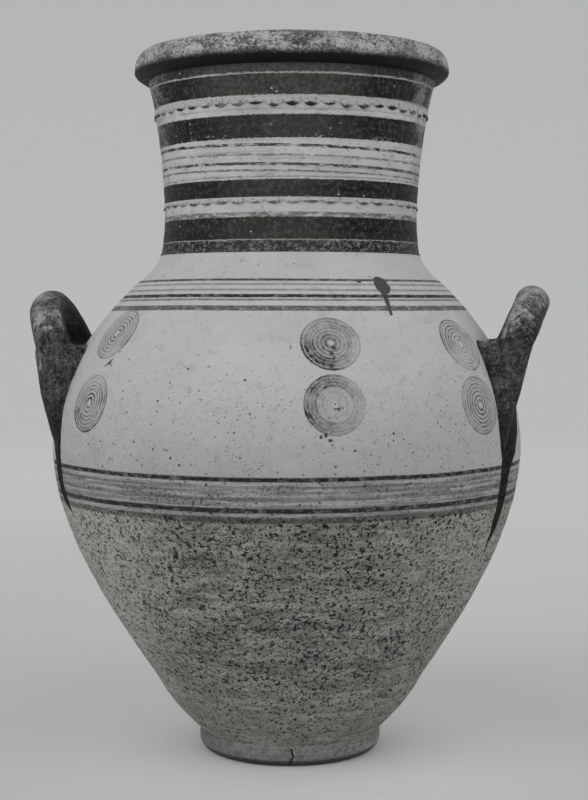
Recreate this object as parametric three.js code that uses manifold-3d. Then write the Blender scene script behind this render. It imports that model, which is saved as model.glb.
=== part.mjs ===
// A large painted clay jar: ring foot, ovoid body, tall flaring neck with two pressed cordons,
// rolled rim, and two upright loop handles on the shoulder.
// Millimetres, +Z up. The origin is the centre of the resting face and the handles lie along X.

import * as THREE from "three";
import { mergeVertices } from "three/addons/utils/BufferGeometryUtils.js";
import Module from "manifold-3d";

// Heights of the stretches of wall, stacked from the floor up
const footHeight = 22;
const collarHeight = 46;
const lowerWallHeight = 240;
const shoulderHeight = 172;
const neckRootHeight = 18.5;
const neckHeight = 168.5;
const rimHeight = 33;

// Outer radii where those stretches meet
const restingRadius = 83.2;
const footRadius = 92;
const collarRadius = 130.6;
const bellyRadius = 235.4;
const shoulderTopRadius = 143;
const neckBaseRadius = 130.5;
const neckTopRadius = 142.8;

// The rim's roll: how far it overhangs the neck, the height of its widest line, and its crest
const rimOverhang = 14.4;
const rimBulgeHeight = 12.5;
const rimCrestOffset = 2;
const rimLipDepth = 10;
const rimRoundness = 0.53;

// Clay thicknesses, and the seats where one piece is luted to the next
const wallThickness = 11;
const baseThickness = 18;
const baseRecessDepth = 14;
const baseBossRadius = 64;
const restingBevel = 4;
const footBulgeHeight = 5.9;
const floorFillet = 22;
const jointBelowBelly = 13.3;
const lapHeight = 12;
const spigotHeight = 10;
const clearance = 0.3;

// Cordons: strips of clay laid round the neck, pressed into hanging scallops
const cordonBandHeight = 4;
const scallopPitch = 17.6;
const lowerCordonTop = 49;
const lowerScallopDrop = 3;
const lowerCordonRelief = 0.9;
const upperCordonTop = 140;
const upperScallopDrop = 5;
const upperCordonRelief = 1.2;

// Handles: a rod bent into an arch that leans out, on two long pressed-down roots.
// They are set by eye, both a little forward of the X axis and the left one lower and fuller.
const rightCrestAboveBelly = 146.5;
const leftCrestAboveBelly = 142;
const rightHandleTurn = THREE.MathUtils.degToRad(-2.4);
const leftHandleTurn = THREE.MathUtils.degToRad(182.4);
const rightRootTaper = 1.65;
const leftRootTaper = 1.48;
const handleCrestPastBelly = 8.6;
const handleArchRise = 57.5;
const handleArchSpread = 69;
const handleLean = THREE.MathUtils.degToRad(22.5);
const rodDepth = 34;
const rodHeightAtCrest = 28;
const rodHeightAtRoot = 31;
const archLegLength = 16;
const rootLedgeBelowCrest = 45;
const rootLength = 106;
const rootProtrusion = 48;
const rootWidth = 32;
const rootTipWidth = 22;
const rootBite = 18;
const ledgeRounding = 5;
const rootNarrowing = 5;
const rootTopAngle = THREE.MathUtils.degToRad(15.6);
const rootSplay = THREE.MathUtils.degToRad(6.2);
const rootSplayGrowth = 0.8;

// How finely the shapes are cut into faces
const turns = 52;
const contourSamples = 60;
const rodSides = 14;
const archSteps = 14;
const rootSteps = 8;
const stepsPerScallop = 4;
const longRun = 9;
const middleRun = 6;
const shortRun = 4;
const cornerRun = 3;
const filletRun = 2;

const collarBase = footHeight;
const lowerWallBase = collarBase + collarHeight;
const bellyLevel = lowerWallBase + lowerWallHeight;
const neckRootBase = bellyLevel + shoulderHeight;
const neckBase = neckRootBase + neckRootHeight;
const rimBase = neckBase + neckHeight;
const rimTop = rimBase + rimHeight;
const bellyJoint = bellyLevel - jointBelowBelly;
const floorLevel = baseRecessDepth + baseThickness;

const cordons = [
  { name: "lower_cordon", rise: lowerCordonTop, scallopDrop: lowerScallopDrop, relief: lowerCordonRelief },
  { name: "upper_cordon", rise: upperCordonTop, scallopDrop: upperScallopDrop, relief: upperCordonRelief },
];

const handles = [
  { name: "right_handle", turn: rightHandleTurn, rise: rightCrestAboveBelly, taper: rightRootTaper },
  { name: "left_handle", turn: leftHandleTurn, rise: leftCrestAboveBelly, taper: leftRootTaper },
];

const point = (radius, height) => new THREE.Vector2(radius, height);

// A stretch of contour. The pulls by which it leaves its start and enters its end
// are shares of its own height, so a change of radius keeps their slopes.
function stretch(start, end, startPull, endPull) {
  const height = end.y - start.y;
  const afterStart = start.clone().addScaledVector(startPull, height);
  const beforeEnd = end.clone().addScaledVector(endPull, -height);
  return new THREE.CubicBezierCurve(start, afterStart, beforeEnd, end);
}

// The outer contour of the wall, from the foot's seat up to the rim's underside
const collarFoot = point(footRadius, collarBase);
const collarTop = point(collarRadius, lowerWallBase);
const belly = point(bellyRadius, bellyLevel);
const shoulderTop = point(shoulderTopRadius, neckRootBase);
const neckFoot = point(neckBaseRadius, neckBase);
const neckTop = point(neckTopRadius, rimBase);

const wallContour = [
  stretch(collarFoot, collarTop, point(0.3761, 0.363), point(0.1826, 0.3043)),
  stretch(collarTop, belly, point(0.0517, 0.1087), point(0, 0.4208)),
  stretch(belly, shoulderTop, point(0, 0.5756), point(-0.0198, 0.0215)),
  stretch(shoulderTop, neckFoot, point(-0.2703, 0.2919), point(-0.0865, 0.3514)),
  stretch(neckFoot, neckTop, point(-0.0623, 0.2166), point(0.0522, 0.1602)),
].flatMap((curve) => curve.getPoints(contourSamples));

// Outer radius of the wall at a height, read off the contour
function outerRadius(height) {
  const above = wallContour.findIndex((sample, i) => {
    return i > 0 && sample.y >= height && sample.y > wallContour[i - 1].y;
  });
  if (above < 0) return wallContour.at(-1).x;
  const upper = wallContour[above];
  const lower = wallContour[above - 1];
  return THREE.MathUtils.mapLinear(height, lower.y, upper.y, lower.x, upper.x);
}

// How much longer a horizontal cut through the sloping wall is than its thickness
const slopeReach = 2;
function slant(height) {
  const rise = 2 * slopeReach;
  const slope = (outerRadius(height + slopeReach) - outerRadius(height - slopeReach)) / rise;
  return Math.hypot(1, slope);
}

const innerRadius = (height) => outerRadius(height) - wallThickness * slant(height);

// Points of a contour from one height to another
function run(radiusAt, from, to, steps) {
  return Array.from({ length: steps + 1 }, (_, i) => {
    const height = THREE.MathUtils.lerp(from, to, i / steps);
    return point(radiusAt(height), height);
  });
}

// A solid turned about Z from a profile that is closed on itself or lies on the axis
function turned(profile) {
  return new THREE.LatheGeometry(profile, turns).rotateX(Math.PI / 2);
}

function closed(profile) {
  return [...profile, profile[0]];
}

// The foot: a bevelled ring whose bore takes the boss under the base
function footRing() {
  const bore = baseBossRadius + clearance;
  const outer = new THREE.QuadraticBezierCurve(
    point(restingRadius, 0),
    point(footRadius, footBulgeHeight),
    point(footRadius, footHeight),
  );
  return turned(closed([
    point(bore + restingBevel, 0),
    ...outer.getPoints(shortRun),
    point(bore, footHeight),
    point(bore, restingBevel),
  ]));
}

// The middle of the wall, where the two halves of a lap or spigot joint part
const lapRadius = outerRadius(bellyJoint) - wallThickness / 2;
const spigotRadius = neckBaseRadius - wallThickness / 2;
const upstandRadius = neckTopRadius - wallThickness / 2;

// Base and lower wall, ending in an inner lip that the upper body laps over
function lowerBody() {
  const lipTop = bellyJoint + lapHeight - clearance;
  const filletTop = floorLevel + floorFillet;
  const fillet = new THREE.QuadraticBezierCurve(
    point(innerRadius(filletTop), filletTop),
    point(innerRadius(filletTop) - floorFillet, floorLevel),
    point(innerRadius(filletTop) - 2 * floorFillet, floorLevel),
  );
  return turned([
    point(0, baseRecessDepth),
    point(baseBossRadius, baseRecessDepth),
    point(baseBossRadius, collarBase),
    ...run(outerRadius, collarBase, lowerWallBase, cornerRun),
    ...run(outerRadius, lowerWallBase, bellyJoint, longRun).slice(1),
    point(lapRadius, bellyJoint),
    point(lapRadius, lipTop),
    ...run(innerRadius, lipTop, filletTop, middleRun),
    ...fillet.getPoints(filletRun).slice(1),
    point(0, floorLevel),
  ]);
}

// Upper wall and shoulder, rebated below for the lap and above for the neck's spigot
function upperBody() {
  const lapTop = bellyJoint + lapHeight;
  const ledge = neckBase - spigotHeight;
  return turned(closed([
    point(lapRadius + clearance, bellyJoint),
    ...run(outerRadius, bellyJoint, neckRootBase, longRun),
    ...run(outerRadius, neckRootBase, neckBase, cornerRun).slice(1),
    point(spigotRadius, neckBase),
    point(spigotRadius, ledge),
    ...run(innerRadius, ledge, lapTop, middleRun),
    point(lapRadius + clearance, lapTop),
  ]));
}

// The neck, with a spigot in the shoulder's mouth and an upstand inside the rim
function neck() {
  const spigotBottom = neckBase - spigotHeight + clearance;
  const upstandTop = rimBase + spigotHeight - clearance;
  const innerWall = (height) => outerRadius(height) - wallThickness;
  return turned(closed([
    point(neckBaseRadius - wallThickness, spigotBottom),
    point(spigotRadius - clearance, spigotBottom),
    point(spigotRadius - clearance, neckBase),
    ...run(outerRadius, neckBase, rimBase, longRun),
    point(upstandRadius - clearance, rimBase),
    point(upstandRadius - clearance, upstandTop),
    point(neckTopRadius - wallThickness, upstandTop),
    ...run(innerWall, rimBase, neckBase, shortRun),
  ]));
}

// A quarter roll between two points, level at one of them and upright at the other
function quarterRoll(levelEnd, uprightEnd) {
  const across = point(uprightEnd.x - levelEnd.x, 0).multiplyScalar(rimRoundness);
  const along = point(0, levelEnd.y - uprightEnd.y).multiplyScalar(rimRoundness);
  return new THREE.CubicBezierCurve(
    levelEnd,
    levelEnd.clone().add(across),
    uprightEnd.clone().add(along),
    uprightEnd,
  ).getPoints(cornerRun);
}

// The rim: a roll of clay that sits on the neck's top edge and overhangs it
function rim() {
  const innerFace = neckTopRadius - wallThickness;
  const widest = point(neckTopRadius + rimOverhang, rimBase + rimBulgeHeight);
  const crest = point(neckTopRadius + rimCrestOffset, rimTop);
  const lip = point(innerFace, rimTop - rimLipDepth);
  return turned(closed([
    ...quarterRoll(neckTop, widest),
    ...quarterRoll(crest, widest).reverse().slice(1),
    ...quarterRoll(crest, lip).slice(1),
    point(innerFace, rimBase + spigotHeight),
    point(upstandRadius, rimBase + spigotHeight),
    point(upstandRadius, rimBase),
  ]));
}

// A closed skin over equal rings of points, with a fan over each end unless it runs round
function skin(rings, runsRound) {
  const sides = rings[0].length;
  const vertices = rings.flat();
  const faces = [];
  const last = runsRound ? rings.length : rings.length - 1;
  for (let i = 0; i < last; i++) {
    const ring = i * sides;
    const next = ((i + 1) % rings.length) * sides;
    for (let j = 0; j < sides; j++) {
      const k = (j + 1) % sides;
      faces.push(ring + j, ring + k, next + k, ring + j, next + k, next + j);
    }
  }
  if (!runsRound) {
    for (let j = 1; j < sides - 1; j++) {
      const end = (rings.length - 1) * sides;
      faces.push(0, j + 1, j, end, end + j, end + j + 1);
    }
  }
  const geometry = new THREE.BufferGeometry().setFromPoints(vertices);
  geometry.setIndex(faces);
  return geometry;
}

// A cordon: its top edge runs level, its lower edge hangs down in rounded scallops
function cordon({ rise, scallopDrop, relief }) {
  const top = neckBase + rise;
  const bottom = top - cordonBandHeight;
  const scallops = Math.round((2 * Math.PI * outerRadius(top)) / scallopPitch);
  const steps = scallops * stepsPerScallop;
  const rings = Array.from({ length: steps }, (_, i) => {
    const angle = (i / steps) * 2 * Math.PI;
    const hang = scallopDrop * Math.abs(Math.sin((angle * scallops) / 2));
    const lowEdge = bottom - hang;
    const corners = [
      point(outerRadius(lowEdge) + clearance, lowEdge),
      point(outerRadius(top) + clearance, top),
      point(outerRadius(top) + clearance + relief / 2, top),
      point(outerRadius(lowEdge + relief) + clearance + relief, lowEdge + relief),
    ];
    return corners.map(({ x, y }) => new THREE.Vector3(x * Math.cos(angle), x * Math.sin(angle), y));
  });
  return skin(rings, true);
}

// The handle's arch: an oval rod along half an ellipse in a plane that leans out
const archUp = new THREE.Vector3(Math.sin(handleLean), 0, Math.cos(handleLean));
const archOut = new THREE.Vector3(Math.cos(handleLean), 0, -Math.sin(handleLean));
const archSide = new THREE.Vector3(0, 1, 0);
const archRise = handleArchRise / Math.cos(handleLean);

function oval(centre, across, halfAcross, along, halfAlong) {
  return Array.from({ length: rodSides }, (_, i) => {
    const angle = (i / rodSides) * 2 * Math.PI;
    return centre.clone()
      .addScaledVector(across, halfAcross * Math.cos(angle))
      .addScaledVector(along, halfAlong * Math.sin(angle));
  });
}

function archSection(crestLevel, angle, dropBelow) {
  const crest = new THREE.Vector3(bellyRadius + handleCrestPastBelly, 0, crestLevel);
  const centre = crest
    .addScaledVector(archUp, archRise * (Math.cos(angle) - 1) - dropBelow)
    .addScaledVector(archSide, handleArchSpread * Math.sin(angle));
  const tangent = archUp.clone().multiplyScalar(-archRise * Math.sin(angle))
    .addScaledVector(archSide, handleArchSpread * Math.cos(angle)).normalize();
  const inPlane = tangent.clone().cross(archOut).normalize();
  const rodHeight = THREE.MathUtils.lerp(rodHeightAtCrest, rodHeightAtRoot, Math.sin(angle) ** 2);
  return oval(centre, archOut, rodDepth / 2, inPlane, rodHeight / 2);
}

function handleArch(crestLevel) {
  const quarter = Math.PI / 2;
  const rings = [archSection(crestLevel, -quarter, archLegLength)];
  for (let i = 0; i <= archSteps; i++) {
    rings.push(archSection(crestLevel, THREE.MathUtils.lerp(-quarter, quarter, i / archSteps), 0));
  }
  rings.push(archSection(crestLevel, quarter, archLegLength));
  return skin(rings, false);
}

// A root: level slices from the ledge behind the rod down to where it dies into the wall,
// closed above by two smaller slices that round the ledge off
const ledgeSlices = [
  { rise: ledgeRounding / 2, scale: 0.9 },
  { rise: ledgeRounding, scale: 0.66 },
];

function handleRoot(crestLevel, side, taper) {
  const ledge = crestLevel - rootLedgeBelowCrest;
  const slice = (share, level, scale) => {
    const wall = outerRadius(level);
    const protrusion = rootProtrusion * (1 - share) ** taper;
    const angle = side * (rootTopAngle + rootSplay * share ** rootSplayGrowth);
    const width = THREE.MathUtils.lerp(rootWidth, rootTipWidth, share ** rootNarrowing);
    const radial = new THREE.Vector3(Math.cos(angle), Math.sin(angle), 0);
    const tangential = new THREE.Vector3(-Math.sin(angle), Math.cos(angle), 0);
    const length = protrusion + rootBite;
    const centre = radial.clone().multiplyScalar(wall + protrusion - length / 2);
    centre.z = level;
    return oval(centre, radial, (length / 2) * scale, tangential, (width / 2) * scale);
  };
  const rings = [];
  for (let i = rootSteps; i >= 0; i--) {
    const share = i / rootSteps;
    rings.push(slice(share, ledge - rootLength * share, 1));
  }
  for (const { rise, scale } of ledgeSlices) {
    rings.push(slice(0, ledge + rise, scale));
  }
  return skin(rings, false);
}

const wasm = await Module();
wasm.setup();
const sameVertex = 1e-4;

function toSolid(geometry) {
  const bare = geometry.clone();
  bare.deleteAttribute("normal");
  bare.deleteAttribute("uv");
  const merged = mergeVertices(bare, sameVertex);
  return new wasm.Manifold(new wasm.Mesh({
    numProp: 3,
    vertProperties: new Float32Array(merged.attributes.position.array),
    triVerts: new Uint32Array(merged.index.array),
  }));
}

function toGeometry(solid) {
  const { vertProperties, triVerts, numProp } = solid.getMesh();
  const positions = [];
  for (let i = 0; i < vertProperties.length; i += numProp) {
    positions.push(vertProperties[i], vertProperties[i + 1], vertProperties[i + 2]);
  }
  const geometry = new THREE.BufferGeometry();
  geometry.setAttribute("position", new THREE.Float32BufferAttribute(positions, 3));
  geometry.setIndex([...triVerts]);
  return geometry;
}

// The jar's outside as one core, grown by the clearance, that shapes the back of each handle
function wallCore() {
  const grown = ({ y }) => point(outerRadius(y) + clearance * slant(y), y);
  return turned([
    point(0, lowerWallBase),
    ...run(outerRadius, lowerWallBase, bellyJoint, longRun).map(grown),
    ...run(outerRadius, bellyJoint, neckRootBase, longRun).slice(1).map(grown),
    point(0, neckRootBase),
  ]);
}

function handle({ turn, rise, taper }) {
  const crestLevel = bellyLevel + rise;
  const inPlace = (geometry) => toSolid(geometry.rotateZ(turn));
  const arch = inPlace(handleArch(crestLevel));
  const nearRoot = inPlace(handleRoot(crestLevel, 1, taper));
  const farRoot = inPlace(handleRoot(crestLevel, -1, taper));
  return toGeometry(arch.add(nearRoot).add(farRoot).subtract(toSolid(wallCore())));
}

const clay = (color, roughness) => new THREE.MeshStandardMaterial({ color, roughness, metalness: 0 });
const lightSlip = clay(0xa6a7a5, 0.85);
const bareClay = clay(0x595a55, 0.92);
const footClay = clay(0x5d5e59, 0.92);
const darkPaint = clay(0x42423e, 0.7);
const wornPaint = clay(0x72726f, 0.8);

const jar = new THREE.Group();

function place(name, geometry, material) {
  const mesh = new THREE.Mesh(geometry, material);
  mesh.name = name;
  jar.add(mesh);
}

place("foot_ring", footRing(), footClay);
place("lower_body", lowerBody(), bareClay);
place("upper_body", upperBody(), lightSlip);
place("neck", neck(), darkPaint);
place("rim", rim(), wornPaint);
for (const strip of cordons) {
  place(strip.name, cordon(strip), lightSlip);
}
for (const setting of handles) {
  place(setting.name, handle(setting), darkPaint);
}

export default jar;
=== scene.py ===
import math
import random
import bpy
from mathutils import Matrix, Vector


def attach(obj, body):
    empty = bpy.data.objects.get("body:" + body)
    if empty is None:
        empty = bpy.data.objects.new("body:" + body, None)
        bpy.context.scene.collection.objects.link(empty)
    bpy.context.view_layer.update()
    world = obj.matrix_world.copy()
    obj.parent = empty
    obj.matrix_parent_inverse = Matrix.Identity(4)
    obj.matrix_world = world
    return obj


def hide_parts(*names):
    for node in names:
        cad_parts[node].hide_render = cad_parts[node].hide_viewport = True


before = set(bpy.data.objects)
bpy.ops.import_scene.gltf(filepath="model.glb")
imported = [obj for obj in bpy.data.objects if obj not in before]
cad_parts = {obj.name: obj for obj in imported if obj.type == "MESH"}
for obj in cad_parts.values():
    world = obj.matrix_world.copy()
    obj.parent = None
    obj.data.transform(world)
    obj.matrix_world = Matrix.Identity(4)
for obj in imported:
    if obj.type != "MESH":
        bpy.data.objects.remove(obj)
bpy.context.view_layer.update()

print("frame loaded:", sorted(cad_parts))


def grey(level, warmth=0.0):
    # A print's grey from 0 to 255 as scene light, a little warmer or cooler if asked
    def toLight(value):
        share = value / 255
        return share / 12.92 if share <= 0.04045 else ((share + 0.055) / 1.055) ** 2.4
    return (toLight(level + warmth), toLight(level + warmth * 0.8), toLight(level - warmth), 1)


# The outer wall, in millimetres as radius and height, with the pulls of each curved stretch
wallShape = {
    "marks": [(92, 22), (130.6, 68), (235.4, 308), (143, 480), (130.5, 498.5), (142.8, 667)],
    "pulls": [((17.3, 16.7), (-8.4, -14)), ((12.4, 26.1), (0, -101)), ((0, 99), (3.4, -3.7)),
              ((-5, 5.4), (1.6, -6.5)), ((-10.5, 36.5), (-8.8, -27))],
    "thickness": 11,
    "bellyJoint": 294.7,
    "lap": 12,
    "seam": 0.15,
    "gap": 0.3,
    "insideRipple": 1.6,
    "turns": 240,
}
throwingWaves = [(1.9, 0, 0.05), (3.7, 1, 0.09), (8.3, 2, 0.13)]  # length, start and rise


def curvePoints(start, startPull, endPull, end, count):
    points = []
    for i in range(count + 1):
        t = i / count
        weights = ((1 - t) ** 3, 3 * (1 - t) ** 2 * t, 3 * (1 - t) * t * t, t ** 3)
        stops = (start, (start[0] + startPull[0], start[1] + startPull[1]),
                 (end[0] + endPull[0], end[1] + endPull[1]), end)
        points.append(tuple(sum(w * p[k] for w, p in zip(weights, stops)) for k in (0, 1)))
    return points


wallLine = []
for lower, upper, (startPull, endPull) in zip(wallShape["marks"], wallShape["marks"][1:], wallShape["pulls"]):
    wallLine += curvePoints(lower, startPull, endPull, upper, 80)[1 if wallLine else 0:]


def outerRadius(height):
    for (r0, z0), (r1, z1) in zip(wallLine, wallLine[1:]):
        if height <= z1:
            share = (height - z0) / (z1 - z0) if z1 > z0 else 0
            return r0 + (r1 - r0) * max(0, share)
    return wallLine[-1][0]


def innerRadius(height):
    slope = (outerRadius(height + 2) - outerRadius(height - 2)) / 4
    return outerRadius(height) - wallShape["thickness"] * math.hypot(1, slope)


def wallRun(radiusAt, start, end, spacing, ripple=0.0):
    # Points of the wall, with the low ridges that fingers leave on the wheel
    count = max(1, round(abs(end - start) / spacing))
    run = []
    for i in range(count + 1):
        height = start + (end - start) * i / count
        waves = sum(math.sin(height / length + begin) * rise for length, begin, rise in throwingWaves)
        run.append((radiusAt(height) + waves * ripple, height))
    return run


def pickOnly(*objects):
    bpy.ops.object.select_all(action="DESELECT")
    for thing in objects:
        thing.select_set(True)
    if objects:
        bpy.context.view_layer.objects.active = objects[0]


def applyPlace():
    bpy.ops.object.transform_apply(location=True, rotation=True, scale=True)


def applyAll(piece):
    pickOnly(piece)
    for modifier in list(piece.modifiers):
        bpy.ops.object.modifier_apply(modifier=modifier.name)


def drawOutline(outline, closed):
    # One corner of a small plane is drawn out along the outline, and stays in edit mode
    pickOnly()
    first = outline[0]
    bpy.ops.mesh.primitive_plane_add(size=0.001, location=(first[0] / 1000, 0, first[1] / 1000))
    bpy.ops.object.mode_set(mode="EDIT")
    bpy.ops.mesh.merge(type="CENTER")
    for here, there in zip(outline, outline[1:] + ([first] if closed else [])):
        move = ((there[0] - here[0]) / 1000, 0, (there[1] - here[1]) / 1000)
        bpy.ops.mesh.extrude_region_move(TRANSFORM_OT_translate={"value": move})
    bpy.ops.mesh.select_all(action="SELECT")
    return bpy.context.object


def spinOutline(steps, angle, mergeWithin):
    bpy.ops.mesh.spin(steps=steps, angle=math.radians(angle), center=(0, 0, 0), axis=(0, 0, 1))
    bpy.ops.mesh.select_all(action="SELECT")
    bpy.ops.mesh.remove_doubles(threshold=mergeWithin)


def finishSkin():
    # Faces outwards, back to object mode, and the place into the mesh
    bpy.ops.mesh.normals_make_consistent(inside=False)
    bpy.ops.object.mode_set(mode="OBJECT")
    applyPlace()


def capEnds():
    bpy.ops.mesh.select_all(action="SELECT")
    bpy.ops.mesh.fill_holes(sides=0)
    bpy.ops.mesh.select_all(action="SELECT")


def turnedPiece(name, outline, turns=None, closed=True):
    piece = drawOutline(outline, closed)
    piece.name = name
    spinOutline(turns or wallShape["turns"], 360, 0.00002)
    finishSkin()
    bpy.ops.object.shade_smooth_by_angle(angle=math.radians(38))
    return piece


def unevenSurface(piece, name, size, strength):
    # Clay worked by hand is never quite even
    texture = bpy.data.textures.new(name, "CLOUDS")
    texture.noise_scale = size
    texture.noise_depth = 3
    modifier = piece.modifiers.new(name, "DISPLACE")
    modifier.texture = texture
    modifier.texture_coords = "LOCAL"
    modifier.mid_level = 0.5
    modifier.strength = strength / 1000
    applyAll(piece)
    bpy.data.textures.remove(texture)


def cutAway(piece, cutter):
    cut = piece.modifiers.new("Cut", "BOOLEAN")
    cut.operation = "DIFFERENCE"
    cut.solver = "MANIFOLD"
    cut.object = cutter
    applyAll(piece)


# The foot: a low ring with a softened resting edge and a firing crack at the front
footShape = {
    "height": 22,
    "restingRadius": 83.2,
    "radius": 92,
    "widestAt": 15,
    "lowPulls": ((5, 1.8), (0.6, -9)),
    "highPulls": ((-0.1, 2.5), (-0.2, -1.5)),
    "topInset": 0.6,
    "boss": 64,
    "turns": 220,
    "crackAzimuth": 6.3,
    "crackWidth": 2.3,
    "crackDepth": 12,
    "crackHeight": 18,
    "crackLean": 4,
}


def buildCrack():
    # A rough wedge that wanders a little on its way up
    pickOnly()
    bpy.ops.mesh.primitive_cube_add(size=1)
    wedge = bpy.context.object
    high = footShape["crackHeight"] / 1000
    bpy.ops.object.mode_set(mode="EDIT")
    bpy.ops.mesh.subdivide(number_cuts=6)
    bpy.ops.transform.resize(value=(footShape["crackWidth"] / 1000, footShape["crackDepth"] / 1000, high))
    bpy.ops.transform.vertex_random(offset=0.0005, uniform=0.2, seed=5)
    bpy.ops.object.mode_set(mode="OBJECT")
    for corner in wedge.data.vertices:
        corner.co.x += 0.0011 * math.sin(corner.co.z * 430 + 0.8) + 0.0006 * math.sin(corner.co.z * 990)
    azimuth = math.radians(footShape["crackAzimuth"])
    reach = (footShape["radius"] + 1.5) / 1000
    wedge.location = (reach * math.sin(azimuth), -reach * math.cos(azimuth), high / 2 + 0.001)
    wedge.rotation_euler = (0, math.radians(footShape["crackLean"]), azimuth)
    return wedge


def buildFoot():
    height, radius, widest = footShape["height"], footShape["radius"], (footShape["radius"], footShape["widestAt"])
    outer = curvePoints((footShape["restingRadius"] + 0.8, 0.3), *footShape["lowPulls"], widest, 12)
    top = curvePoints(widest, *footShape["highPulls"], (radius - footShape["topInset"], height), 6)
    bore = footShape["boss"] + wallShape["gap"]
    outline = [(bore + 4, 0), (bore + 7, 0), (footShape["restingRadius"], 0)] + outer + top[1:]
    outline += [(bore, height), (bore, 12), (bore, 4), (bore + 1.2, 1.2)]
    foot = turnedPiece("footRing", outline, footShape["turns"])
    wedge = buildCrack()
    cutAway(foot, wedge)
    bpy.data.objects.remove(wedge)
    return foot


# Base and lower wall, up to the inner lip that the upper wall laps over
bodyShape = {
    "recess": 14,
    "base": 18,
    "floorRounding": 22,
    "seatRadius": 78,
    "seatGap": 0.05,
    "shoulder": 480,
    "ripple": 1.0,
}


def buildLowerBody():
    recess, boss, seam = bodyShape["recess"], footShape["boss"], wallShape["bellyJoint"] - wallShape["seam"]
    seat = footShape["height"] + bodyShape["seatGap"]
    lapTop = wallShape["bellyJoint"] + wallShape["lap"] - wallShape["gap"]
    middle = outerRadius(wallShape["bellyJoint"]) - wallShape["thickness"] / 2
    floor = recess + bodyShape["base"]
    filletTop = floor + bodyShape["floorRounding"]
    corner = innerRadius(filletTop)
    fillet = curvePoints((corner, filletTop), (-14, -15), (15, 0), (corner - 44, floor), 8)
    outline = [(0.001, recess), (30, recess), (boss, recess), (boss, seat), (bodyShape["seatRadius"], seat)]
    outline += wallRun(outerRadius, seat, seam, 3.0, bodyShape["ripple"])
    outline += [(middle, seam), (middle, lapTop)]
    outline += wallRun(innerRadius, lapTop, filletTop, 5.0, wallShape["insideRipple"])
    outline += fillet[1:] + [(30, floor + 0.6), (0.001, floor + 1.2)]
    return turnedPiece("lowerBody", outline, closed=False)


# The neck stands in the shoulder's mouth, a sharp turn above the slip
neckShape = {
    "base": 498.5,
    "top": 671,
    "spigot": 10,
    "baseEdge": 0.5,
    "ripple": 1.3,
    "insideRipple": 1.2,
}


def buildUpperBody():
    joint, lapTop = wallShape["bellyJoint"], wallShape["bellyJoint"] + wallShape["lap"]
    middle = outerRadius(joint) - wallShape["thickness"] / 2 + wallShape["gap"]
    neckBase, shoulder = neckShape["base"], bodyShape["shoulder"]
    mouth = outerRadius(neckBase) - wallShape["thickness"] / 2
    outline = [(middle, joint)] + wallRun(outerRadius, joint, shoulder, 3.0, bodyShape["ripple"])
    outline += wallRun(outerRadius, shoulder, neckBase, 1.5)[1:]
    outline += [(mouth, neckBase), (mouth, neckBase - neckShape["spigot"])]
    outline += wallRun(innerRadius, neckBase - neckShape["spigot"], lapTop, 5.0, wallShape["insideRipple"])
    return turnedPiece("upperBody", outline + [(middle, lapTop)])


def buildNeck():
    base, top, thickness = neckShape["base"], neckShape["top"], wallShape["thickness"]
    foot, edge = outerRadius(base), outerRadius(base) + neckShape["baseEdge"]
    spigot = neckShape["spigot"] - wallShape["gap"]
    spigotRadius = foot - thickness / 2 - wallShape["gap"]
    upstandRadius = outerRadius(top) - thickness / 2 - wallShape["gap"]
    outline = [(foot - thickness, base - spigot), (spigotRadius, base - spigot), (spigotRadius, base + 0.1),
               (edge - 0.4, base + 0.1), (edge, base + 0.6)]
    outline += wallRun(outerRadius, base + 2.5, top, 1.5, neckShape["ripple"])
    outline += [(upstandRadius, top), (upstandRadius, top + spigot), (outerRadius(top) - thickness, top + spigot)]
    outline += wallRun(lambda z: outerRadius(z) - thickness, top, base, 5.0, neckShape["insideRipple"])
    return turnedPiece("neckWall", outline)


# The rim: a soft roll, fullest low down, its crest rubbed flat in places
rimShape = {
    "widest": (157.2, 680.3),
    "crest": (144.8, 700),
    "underPulls": ((7.5, 0.2), (0.2, -5.2)),
    "outerPulls": ((-0.3, 11.5), (7.5, -0.5)),
    "lipPulls": ((-7, 0.1), (0, 6)),
    "lipDepth": 10,
    "unevenness": 1.1,
}


def buildRim():
    widest, crest, base = rimShape["widest"], rimShape["crest"], neckShape["top"]
    neckTop = outerRadius(base)
    inner, seat = neckTop - wallShape["thickness"], neckTop - wallShape["thickness"] / 2
    seatTop = base + neckShape["spigot"]
    outline = curvePoints((neckTop, base), *rimShape["underPulls"], widest, 10)
    outline += curvePoints(widest, *rimShape["outerPulls"], crest, 14)[1:]
    outline += curvePoints(crest, *rimShape["lipPulls"], (inner, crest[1] - rimShape["lipDepth"]), 8)[1:]
    outline += [(inner, base + 16), (inner, seatTop), (seat, seatTop), (seat, base)]
    rim = turnedPiece("rimRoll", outline)
    unevenSurface(rim, "rimWear", 0.022, rimShape["unevenness"])
    return rim


# The cordons: strips pressed down with a fingertip into hanging scallops
cordonShape = {
    "lowerCordon": {"top": 549.6, "band": 3.0, "drop": 2.9, "pitch": 17.6, "relief": 1.2, "unevenness": 0.4},
    "upperCordon": {"top": 641.0, "band": 3.4, "drop": 4.9, "pitch": 17.6, "relief": 1.8, "unevenness": 0.4},
}


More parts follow.
